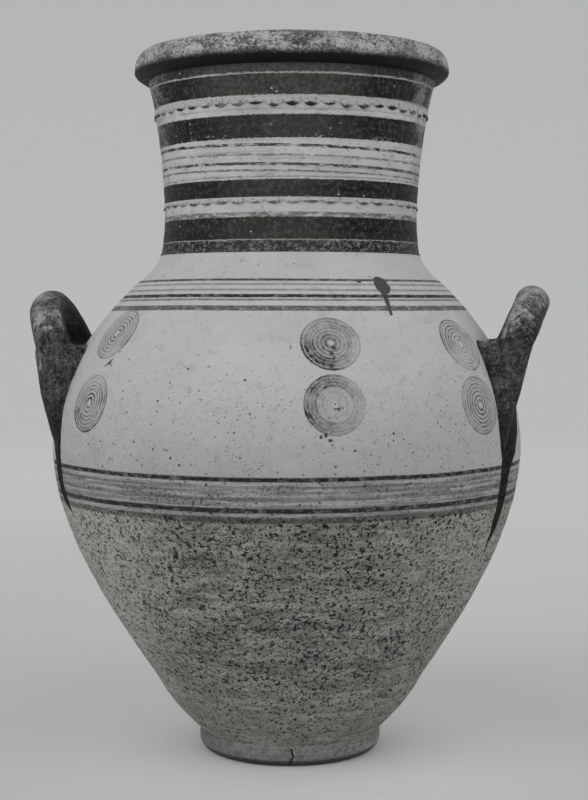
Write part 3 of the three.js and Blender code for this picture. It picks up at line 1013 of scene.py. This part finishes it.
def handleTail(axes, points, ragged):
    low, high, farthest = points[0][0], points[-1][0], tailShape["farthest"]
    share = maths("DIVIDE", less(axes["Z"], low / 1000), (high - low) / 1000)
    stops = [((level - low) / (high - low), (inner / farthest, outer / farthest, 0))
             for level, inner, outer in points]
    edges = addNode("ShaderNodeSeparateColor", {0: ramp(share, stops, "CARDINAL")}).outputs
    away = maths("ADD", maths("ABSOLUTE", less(axes["Y"], tailShape["middle"] / 1000)), ragged)
    pastInner = maths("ADD", added(away, edges[0], -farthest / 1000), 2 * paintEdge)
    beforeOuter = mixture((away, -1.0), (edges[1], farthest / 1000))
    tail = times(step(pastInner, -paintEdge, paintEdge), step(beforeOuter, -paintEdge, paintEdge))
    # Between the roots the paint sags away from the ledge
    sag, reach = tailShape["sag"] / 1000, maths("DIVIDE", away, tailShape["sagReach"] / 1000)
    top = added(high / 1000 - sag, times(reach, reach), sag)
    tail = times(tail, step(less(maths("ADD", top, ragged), axes["Z"]), -0.0008, 0.0008))
    above = maths("GREATER_THAN", axes["Z"], low / 1000)
    return times(times(tail, above), maths("LESS_THAN", axes["Z"], high / 1000))


def handleTails(place, axes):
    ragged = times(less(noise(place, 60, 4, 0.6), 0.5), 0.006)
    rightSide = maths("GREATER_THAN", axes["X"], 0.0)
    return most(times(handleTail(axes, tailShape["right"], ragged), rightSide),
                times(handleTail(axes, tailShape["left"], ragged), inverse(rightSide)))


# The neck: dark bands over slip, worn above the handles, with painted sheen and shade at its sides as seen from the
# front. Strokes are level, width and strength
neckFinish = {
    "slip": (176, 198),
    "paint": (14, 38),
    "coats": {"streak": (112, 0), "smudge": (104, 0), "sideSmudgeAndShade": (108, 0), "rubbingAndSheen": (66, 2), "worn": (86, 2),
              "pit": (18, 1), "chip": (180, 0), "speck": (44, 0)},
    "bands": [(668.0, 11.0, 0.96), (652.3, 19.0, 1.0), (614.4, 21.4, 1.0), (557.8, 16.6, 1.0), (521.0, 21.0, 1.0),
              (503.8, 12.6, 1.0)],
    "fineLines": [(597.2, 2.7, 0.82), (588.3, 2.0, 0.55), (579.9, 2.7, 0.78), (573.8, 1.9, 0.6)],
    "levelLines": [(568.4, 1.6, 0.4), (533.6, 4.6, 0.6), (630.2, 1.4, 0.25)],
    "scrapes": [(662.6, 1.8, 0.62), (509.8, 1.4, 0.26)],
    "chippedEdges": [(606, 3.5, 1.0), (549.5, 3, 0.8)],
    "slant": 0.018,
    "facing": (0.9962, 0.0872),
    "middle": 0.001,
    "wearAndSheenAcross": (0.115, 0.132),
}


def neckMaterial(name):
    values, coats = neckFinish, neckFinish["coats"]
    material, place = startMaterial(name)
    axes = axesOf(place)
    height = brushed(place, 0.0018, 0.0024)
    streaks = thrown(place, 300.0)
    clouds = noise(place, 16, 4, 0.6)
    grain = noise(place, 640, 3, 0.65)
    grit = noise(place, 240, 4, 0.75)
    slip = tones(step(clouds, 0.3, 0.7), values["slip"])
    slip = coat(slip, step(streaks, 0.52, 0.72, 0.0, 0.4), *coats["streak"])
    slip = coat(slip, step(noise(stretched(place, 2.5), 60, 5, 0.75), 0.53, 0.68, 0.0, 0.5), *coats["smudge"])
    # How far to either side, as seen from the front right. The slip there is smudged grey, partly as painted shade
    # where the neck turns away
    across = mixture((axes["X"], values["facing"][0]), (axes["Y"], values["facing"][1]))
    across = maths("ABSOLUTE", less(across, values["middle"]))
    outer = step(nudged(across, noise(stretched(place, 2.0), 34, 5, 0.75), 0.05), *values["wearAndSheenAcross"])
    slip = coat(slip, times(outer, step(grit, 0.36, 0.6, 0.15, 0.6)), *coats["sideSmudgeAndShade"])
    sides = times(outer, step(axes["Z"], 0.598, 0.604))
    # The bands flake at the sides above the handles, partly as wear and partly as painted sheen where the neck turns
    # away, and the fine lines break into dashes
    slanted = added(height, axes["X"], values["slant"])
    fineLines = most(strokes(slanted, values["fineLines"]), strokes(height, values["levelLines"]))
    dashes = step(noise(stretched(place, 3.0), 95, 4, 0.75), 0.38, 0.54, 0.15, 1.2)
    worn = most(times(flaked(place, 0.14, 80.0, 0.05), 0.55), times(flaked(place, 0.52, 52.0, 0.08), sides))
    painted = times(strokes(height, values["bands"], 0.0009), added(1.0, worn, -0.62))
    lowWear = times(step(axes["Z"], 0.5105, 0.5088), step(grit, 0.46, 0.66, 0.0, 0.3))
    marks = most(times(painted, inverse(lowWear)), times(fineLines, dashes, clamp=True))
    scraped = times(strokes(height, values["scrapes"], 0.0008), step(noise(place, 90, 5, 0.8), 0.42, 0.56))
    marks = times(marks, inverse(scraped))
    paint = tones(step(streaks, 0.3, 0.7), values["paint"], 2)
    # The paint is greyer at the front as a painted sheen, most of all under the rim
    rubbingAndSheen = times(step(axes["Y"], -0.105, -0.135), step(clouds, 0.25, 0.6, 0.35, 0.75))
    paint = coat(paint, rubbingAndSheen, *coats["rubbingAndSheen"])
    # More painted sheen on the upper bands at the front
    upper = times(step(axes["Z"], 0.632, 0.645), step(axes["Y"], -0.105, -0.138))
    paint = coat(paint, times(upper, step(grit, 0.4, 0.6, 0.1, 0.65)), *coats["worn"])
    paint = coat(paint, step(grit, 0.48, 0.64, 0.0, 0.6), *coats["worn"])
    paint = coat(paint, times(pitted(place, 300.0, 0.35), 0.6), *coats["pit"])
    colour = blend(marks, slip, paint)
    # Chips, most of them along two edges of the bands
    alongEdges = times(strokes(axes["Z"], values["chippedEdges"], 0.001), 0.4)
    chipped = times(scattered(place, 480.0, alongEdges, 0.5), step(noise(place, 17, 2, 0.5), 0.5, 0.58))
    colour = coat(colour, most(scattered(place, 430.0, 0.006, 0.42), chipped), *coats["chip"])
    colour = coat(colour, times(scattered(place, 620.0, 0.09, 0.42), 0.6), *coats["speck"])
    relief = mixture((streaks, 0.6), (grain, 0.3), (grit, 0.6))
    return finishMaterial(material, colour, step(marks, 0.0, 1.0, 0.85, 0.5), 0.1, relief, 0.0007)


# The cordons: slip, with a dark line under each scallop: painted shadow under its lip, with some dark paint caught
# there
cordonFinish = {
    "slip": (178, 120),
    "paint": (26, 2),
    "speck": (44, 0),
    "scallopShadeAndPaint": {"lowerCordon": 0.8, "upperCordon": 0.95},
}


def cordonMaterial(name, piece):
    values = cordonFinish
    material, place = startMaterial(name)
    hang = addNode("ShaderNodeAttribute", tree=material.node_tree, attribute_name="hang").outputs["Fac"]
    grit = noise(place, 260, 4, 0.75)
    grain = noise(place, 640, 3, 0.65)
    slip = tones(step(grit, 0.5, 0.7), values["slip"])
    uneven = step(noise(place, 48, 3, 0.7), 0.36, 0.56, 0.55, 1.05)
    # Painted shadow, with some dark paint, along the foot of each scallop
    lower = times(step(nudged(hang, grit, 0.6), 0.5, 0.74), uneven)
    colour = coat(slip, times(lower, values["scallopShadeAndPaint"][piece]), *values["paint"])
    colour = coat(colour, times(scattered(place, 560.0, 0.08, 0.42), 0.7), *values["speck"])
    relief = mixture((grit, 0.7), (grain, 0.3))
    return finishMaterial(material, colour, step(grit, 0.3, 0.7, 0.9, 0.75), 0.25, relief, 0.0008)


# The rim: black underneath, as paint made darker with painted shade under the roll, its outer face rubbed down to
# mottled grey
rimFinish = {
    "worn": (80, 182),
    "paint": (12, 30),
    "warmth": 1.5,
    "blotch": (80, 1.5),
    "pit": (40, 1),
    "paintAndShadeBelow": (684.3, 677.3),
}


def rimMaterial(name):
    values = rimFinish
    material, place = startMaterial(name)
    height = brushed(place, 0.003, 0.005)
    mottle = noise(stretched(place, 2.4), 42, 5, 0.75)
    fine = noise(stretched(place, 1.5), 360, 4, 0.75)
    mixed = mixture((mottle, 0.5), (fine, 0.5))
    worn = tones(step(mixed, 0.41, 0.56), values["worn"], values["warmth"])
    worn = coat(worn, step(noise(place, 24, 3, 0.6), 0.5, 0.68, 0.0, 0.45), *values["blotch"])
    # Low on the roll and beneath it: black paint, darkened further as painted shade
    lower = step(height, values["paintAndShadeBelow"][0] / 1000, values["paintAndShadeBelow"][1] / 1000)
    colour = blend(lower, worn, tones(step(fine, 0.5, 0.75), values["paint"], values["warmth"]))
    pits = pitted(place, 300.0, 0.42)
    colour = coat(colour, times(times(pits, inverse(lower)), 0.8), *values["pit"])
    relief = mixture((mottle, 0.6), (fine, 0.7), (pits, -0.4))
    return finishMaterial(material, colour, step(lower, 0.0, 1.0, 0.86, 0.6), 0.2, relief, 0.0014)


# The handles: dark paint, rubbed light along their tops and outer sides, partly as painted light where they face up
# and to the left, and painted shade inside the loop
handleFinish = {
    "paint": (13, 84),
    "worn": (92, 160),
    "coats": {"streak": (118, 2), "fleck": (150, 1), "inner": (14, 2), "patch": (20, 2), "root": (22, 2),
              "pit": (20, 1)},
    "patch": {"Start": (0.2367, -0.062, 0.456), "Along": (0.0007, -0.012, -0.024), "Wide": 0.0062, "Narrow": 0.0045,
              "Ragged": 0.008},
    "wear": {"rightHandle": (0.1, 0.16), "leftHandle": (0.02, 0.42)},  # bare patches, and rubbed streaks
}


def handleMaterial(name, piece):
    values, coats = handleFinish, handleFinish["coats"]
    bias, rubbing = values["wear"][piece]
    material, place = startMaterial(name)
    axes = axesOf(place)
    mottle = noise(place, 44, 5, 0.75)
    fine = noise(place, 300, 4, 0.75)
    mixed = mixture((mottle, 0.55), (fine, 0.45))
    paint = tones(step(mixed, 0.42, 0.62), values["paint"], 2)
    worn = tones(step(mottle, 0.4, 0.62), values["worn"], 1.5)
    # Bare patches lie high up and where the surface looks up or left, partly as painted light on the lit sides, and
    # not inside the loop
    facing = axesOf(addNode("ShaderNodeNewGeometry", tree=material.node_tree).outputs["Normal"])
    upFacingWearAndLight = step(facing["Z"], -0.1, 0.75, 0.0, 0.22)
    leftFacingWearAndLight = step(facing["X"], 0.3, -0.7, 0.0, 0.2)
    inwards = times(maths("SIGN", axes["X"]), facing["X"])
    inner = most(step(times(axes["Y"], facing["Y"]), -0.004, -0.03), step(inwards, -0.74, -0.9))
    amount = added(maths("ADD", upFacingWearAndLight, leftFacingWearAndLight), step(axes["Z"], 0.385, 0.462), 0.26)
    amount = maths("ADD", added(amount, inner, -0.4), bias)
    patches = flaked(stretched(place, 0.5), amount, 28.0, 0.12)
    colour = blend(patches, paint, worn)
    # Streaks where the outside was rubbed
    dragged = noise(stretched(place, 0.3), 210, 5, 0.75)
    rubbingAndSheen = times(step(dragged, 0.46, 0.62), step(axes["Z"], 0.3, 0.42, 0.05, rubbing))
    colour = coat(colour, times(rubbingAndSheen, inverse(inner)), *coats["streak"])
    pale = scattered(place, 520.0, step(axes["Z"], 0.3, 0.44, 0.08, 0.2), 0.42)
    colour = coat(colour, times(pale, 0.55), *coats["fleck"])
    # Inside the loop the dark paint is darkened further with painted shade
    colour = coat(colour, times(inner, 0.7), *coats["inner"])
    leftOver = useEffect(paintRun, {"Vector": place, **values["patch"]})
    colour = coat(colour, times(leftOver, step(fine, 0.36, 0.56, 0.9, 0.35)), *coats["patch"])
    rootPaint = most(step(axes["Z"], 0.4, 0.33, 0.0, 1.1 - rubbing), step(axes["Z"], 0.33, 0.31))
    colour = coat(colour, times(less(rootPaint, pale), 0.75, clamp=True), *coats["root"])
    pits = pitted(place, 260.0, 0.42)
    colour = coat(colour, times(pits, 0.75), *coats["pit"])
    relief = mixture((mottle, 0.6), (fine, 0.6), (pits, -0.4))
    return finishMaterial(material, colour, step(patches, 0.0, 1.0, 0.6, 0.82), 0.2, relief, 0.0014)


# Bare clay: the foot, and everything inside
clayFinish = {
    "foot": (114, 142),
    "inside": (96, 118),
    "warmth": 1.5,
    "coats": {"mottle": (72, 1.5), "grain": (150, 1), "paintedShade": (34, 1), "leftSide": (72, 1), "grooveShade": (60, 1),
              "pit": (36, 1)},
}


def clayMaterial(name, part):
    coats = clayFinish["coats"]
    material, place = startMaterial(name)
    streaks = thrown(place, 240.0)
    grain = noise(place, 620, 3, 0.65)
    grit = noise(place, 180, 4, 0.7)
    colour = tones(step(streaks, 0.3, 0.7), clayFinish[part], clayFinish["warmth"])
    colour = coat(colour, step(grit, 0.46, 0.62, 0.0, 0.55), *coats["mottle"])
    colour = coat(colour, step(grain, 0.5, 0.64, 0.0, 0.4), *coats["grain"])
    if part == "foot":
        # Painted contact shadow where it stands, darker to the left, and painted shade in the groove above it
        axes = axesOf(place)
        ragged = nudged(axes["Z"], grit, 0.008)
        colour = coat(colour, times(step(ragged, 0.0085, 0.0045), 0.8), *coats["paintedShade"])
        colour = coat(colour, step(axes["X"], -0.03, -0.075, 0.0, 0.4), *coats["leftSide"])
        colour = coat(colour, times(step(ragged, 0.0195, 0.0225), 0.22), *coats["grooveShade"])
    pits = pitted(place, 320.0, 0.25)
    colour = coat(colour, times(pits, 0.85), *coats["pit"])
    relief = mixture((streaks, 0.5), (grain, 0.35), (grit, 0.5))
    return finishMaterial(material, colour, step(grit, 0.3, 0.7, 0.9, 0.75), 0.3, relief, 0.0009)


insideClay = clayMaterial("insideClay", "inside")
finishes = {
    "footRing": (clayMaterial("footClay", "foot"), "foot_clay", ["foot_ring"]),
    "lowerBody": (wallMaterial("lowerWall"), "bare_clay", ["lower_body"]),
    "upperBody": (wallMaterial("upperWall"), "light_slip", ["upper_body"]),
    "neckWall": (neckMaterial("bandedNeck"), "dark_paint", ["neck"]),
    "rimRoll": (rimMaterial("wornRim"), "worn_paint", ["rim"]),
    "lowerCordon": (cordonMaterial("slippedCordon", "lowerCordon"), "light_slip", ["lower_cordon"]),
    "upperCordon": (cordonMaterial("slippedUpperCordon", "upperCordon"), "light_slip", ["upper_cordon"]),
    "rightHandle": (handleMaterial("rightHandlePaint", "rightHandle"), "dark_paint", ["right_handle"]),
    "leftHandle": (handleMaterial("leftHandlePaint", "leftHandle"), "dark_paint", ["left_handle"]),
}


def paintInside(piece, material):
    # The faces that look towards the axis are bare inside
    piece.data.materials.append(material)
    for face in piece.data.polygons:
        centre = face.center
        limit = outerRadius(centre.z * 1000) - wallShape["thickness"] * 0.75
        aboveBase = centre.z * 1000 > bodyShape["recess"] + bodyShape["base"] - 1
        if math.hypot(centre.x, centre.y) * 1000 < limit and aboveBase:
            face.material_index = 1


for piece in jarPieces:
    material, slot, nodes = finishes[piece.name]
    piece.data.materials.clear()
    piece.data.materials.append(material)
    if piece.name in ("lowerBody", "upperBody", "neckWall"):
        paintInside(piece, insideClay)
    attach(piece, "root")
    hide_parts(*nodes)
print("finishes are on")

# Studio: a pale floor that curves up all round, and soft light from the front and left
studio = {
    "floorTone": 215,
    "nearShadeTone": 203,
    "underJarLightTone": 229,
    "lampSideShadeTone": 170,
    "leftShadeTone": 191,
    "floorRadius": 4.4,
    "coveRise": 3.4,
    "worldLight": 0.775,
    "keyPower": 31,
    "fillPower": 19,
    "lampTint": (0.975, 1.0, 0.992),
    "roomTint": (0.97, 1, 0.985, 1),
    "aimHeight": 0.36,
    "lens": 72,
    "cameraPlace": (0.1455, -1.6167, 0.4433),
    "cameraTurn": (86.82, 0, 5),
}


def buildFloor():
    flat, rise = studio["floorRadius"], studio["coveRise"]
    outline = [(1, 0), (flat * 300, 0), (flat * 1000, 0)]
    for i in range(1, 15):
        angle = math.radians(85 * i / 14)
        outline.append(((flat + rise * math.sin(angle)) * 1000, rise * (1 - math.cos(angle)) * 1000))
    floor = turnedPiece("floor", outline, 96, closed=False)
    material, place = startMaterial("palePaper")
    axes, away = axesOf(place), vectorMaths("LENGTH", place)
    # The floor's tones are painted light and shade: darker towards the jar, lighter just round the foot to thin its
    # shadow, darker to the left and on the cove on the lamps' side
    colour = tones(step(away, 0.4, 3.2), (studio["nearShadeTone"], studio["floorTone"]))
    colour = coat(colour, step(away, 0.34, 0.1), studio["underJarLightTone"])
    colour = coat(colour, step(axes["Y"], -1.8, -4.2, 0.0, 0.45), studio["lampSideShadeTone"])
    leftSide = times(step(axes["X"], 0.2, -0.5), step(away, 2.2, 0.7))
    colour = coat(colour, times(leftSide, 0.5), studio["leftShadeTone"])
    floor.data.materials.append(finishMaterial(material, colour, 1.0, 0.0))


def softLight(name, place, size, power):
    data = bpy.data.lights.new(name, "AREA")
    data.shape = "DISK"
    data.size = size
    data.energy = power
    data.color = studio["lampTint"]
    lamp = bpy.data.objects.new(name, data)
    bpy.context.scene.collection.objects.link(lamp)
    lamp.location = place
    lamp.rotation_euler = (Vector((0, 0, studio["aimHeight"])) - Vector(place)).to_track_quat("-Z", "Y").to_euler()


buildFloor()
softLight("keyLight", (-2.1, -2.2, 2.0), 2.8, studio["keyPower"])
softLight("fillLight", (2.5, -1.9, 1.7), 2.8, studio["fillPower"])
world = bpy.data.worlds.new("softRoom")
world.use_nodes = True
background = world.node_tree.nodes["Background"].inputs
background[0].default_value = studio["roomTint"]
background[1].default_value = studio["worldLight"]
scene = bpy.context.scene
scene.world = world
scene.view_settings.view_transform = "Standard"
scene.view_settings.look = "None"

cameraData = bpy.data.cameras.new("camera")
cameraData.lens = studio["lens"]
cameraData.sensor_width = 36
camera = bpy.data.objects.new("camera", cameraData)
scene.collection.objects.link(camera)
camera.location = studio["cameraPlace"]
camera.rotation_euler = tuple(math.radians(angle) for angle in studio["cameraTurn"])
scene.camera = camera
print("studio is set")
